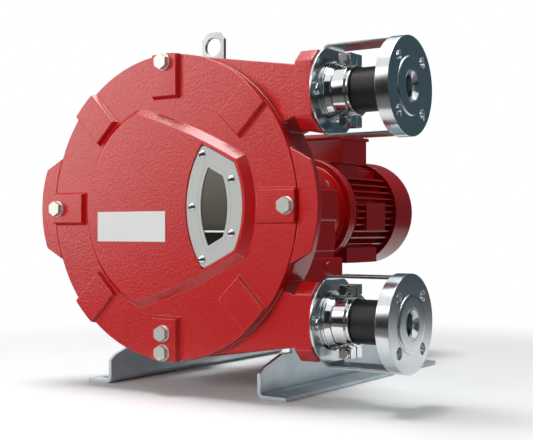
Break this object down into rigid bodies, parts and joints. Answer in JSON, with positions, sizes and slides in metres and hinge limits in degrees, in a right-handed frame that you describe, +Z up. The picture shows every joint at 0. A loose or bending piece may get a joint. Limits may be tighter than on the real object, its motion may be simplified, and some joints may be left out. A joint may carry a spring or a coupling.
{
  "type": "peristaltic hose pump",
  "caption": "Peristaltic hose pump with a round drum, flanged suction and discharge ports, sheet-metal feet and a coaxial geared electric motor.",
  "frame": {"origin": "middle of the four floor bolt holes, at floor level, below the pump axis", "axes": "+X towards the two port flanges, +Y back towards the motor along the pump axis, +Z up"},
  "size_m": [0.53, 0.5545, 0.4675],
  "materials": {
    "red_paint": "textured gloss paint on a casting",
    "red_aluminium": "painted cast aluminium",
    "bright_steel": "bright zinc plate",
    "chrome": "polished plate",
    "zinc": "zinc-plated sheet",
    "flange_steel": "turned and zinc-plated",
    "black_rubber": "matt",
    "grey_plastic": "satin",
    "smoked_glass": "clear, dark behind",
    "white_plate": "satin",
    "cast_iron": "as cast, machined faces",
    "aluminium": "machined",
    "copper": "varnished copper wire",
    "black_plastic": "moulded"
  },
  "bodies": {
    "root": {"pump_housing": "red_paint", "cover": "red_paint", "cover_seal": "black_rubber", "cover_bolts": "bright_steel", "cover_washers": "bright_steel", "cover_plug": "bright_steel", "window_gasket": "black_rubber", "window_pane": "smoked_glass", "window_frame": "grey_plastic", "window_screws": "chrome", "nameplate": "white_plate", "lifting_eye": "zinc", "rear_hex_bolts": "bright_steel", "pump_hose": "black_rubber", "bracket_upper": "zinc", "bracket_lower": "zinc", "hose_collar_upper": "chrome", "hose_collar_lower": "chrome", "hose_clamp_upper": "bright_steel", "hose_clamp_lower": "bright_steel", "flange_upper": "flange_steel", "flange_lower": "flange_steel", "insert_upper": "flange_steel", "insert_lower": "flange_steel", "bracket_bolts": "bright_steel", "clamp_bolts": "bright_steel", "flange_screws": "bright_steel", "foot_left": "zinc", "foot_right": "zinc", "foot_bolts": "bright_steel", "drive_bracket": "red_paint", "gearbox_housing": "red_paint", "gearbox_cover": "red_paint", "gearbox_bolts": "bright_steel", "output_bearings": "bright_steel", "layshaft_bearings": "bright_steel", "shaft_seal": "black_rubber", "motor_flange": "red_paint", "motor_frame": "red_aluminium", "motor_end_shield": "red_paint", "motor_bearings": "bright_steel", "stator_core": "bright_steel", "stator_windings": "copper", "fan_cover": "red_paint", "terminal_box": "red_aluminium", "terminal_lid": "red_aluminium", "lid_screws": "bright_steel", "cable_gland": "black_plastic"},
    "rotor_body": {"rotor": "cast_iron", "pressing_shoes": "aluminium", "shoe_bolts": "bright_steel", "output_shaft": "bright_steel", "output_wheel": "bright_steel"},
    "lay_body": {"layshaft": "bright_steel", "lay_wheel": "bright_steel"},
    "motor_body": {"motor_shaft": "bright_steel", "motor_pinion": "bright_steel", "rotor_core": "cast_iron", "cooling_fan": "black_plastic"}
  },
  "joints": [
    {"name": "rotor_spin", "type": "hinge", "parent": "root", "child": "rotor_body", "pos_m": [0, -0.187, 0.233], "axis": [0, 1, 0], "continuous": true, "deforming": ["pump_hose"]},
    {"name": "layshaft_spin", "type": "hinge", "parent": "root", "child": "lay_body", "pos_m": [0, -0.037, 0.1565], "axis": [0, 1, 0], "continuous": true},
    {"name": "motor_spin", "type": "hinge", "parent": "root", "child": "motor_body", "pos_m": [0, 0.163, 0.233], "axis": [0, 1, 0], "continuous": true}
  ],
  "couplings": [
    {"joint": "layshaft_spin", "follows": "rotor_spin", "ratio": -5},
    {"joint": "motor_spin", "follows": "rotor_spin", "ratio": 25}
  ]
}
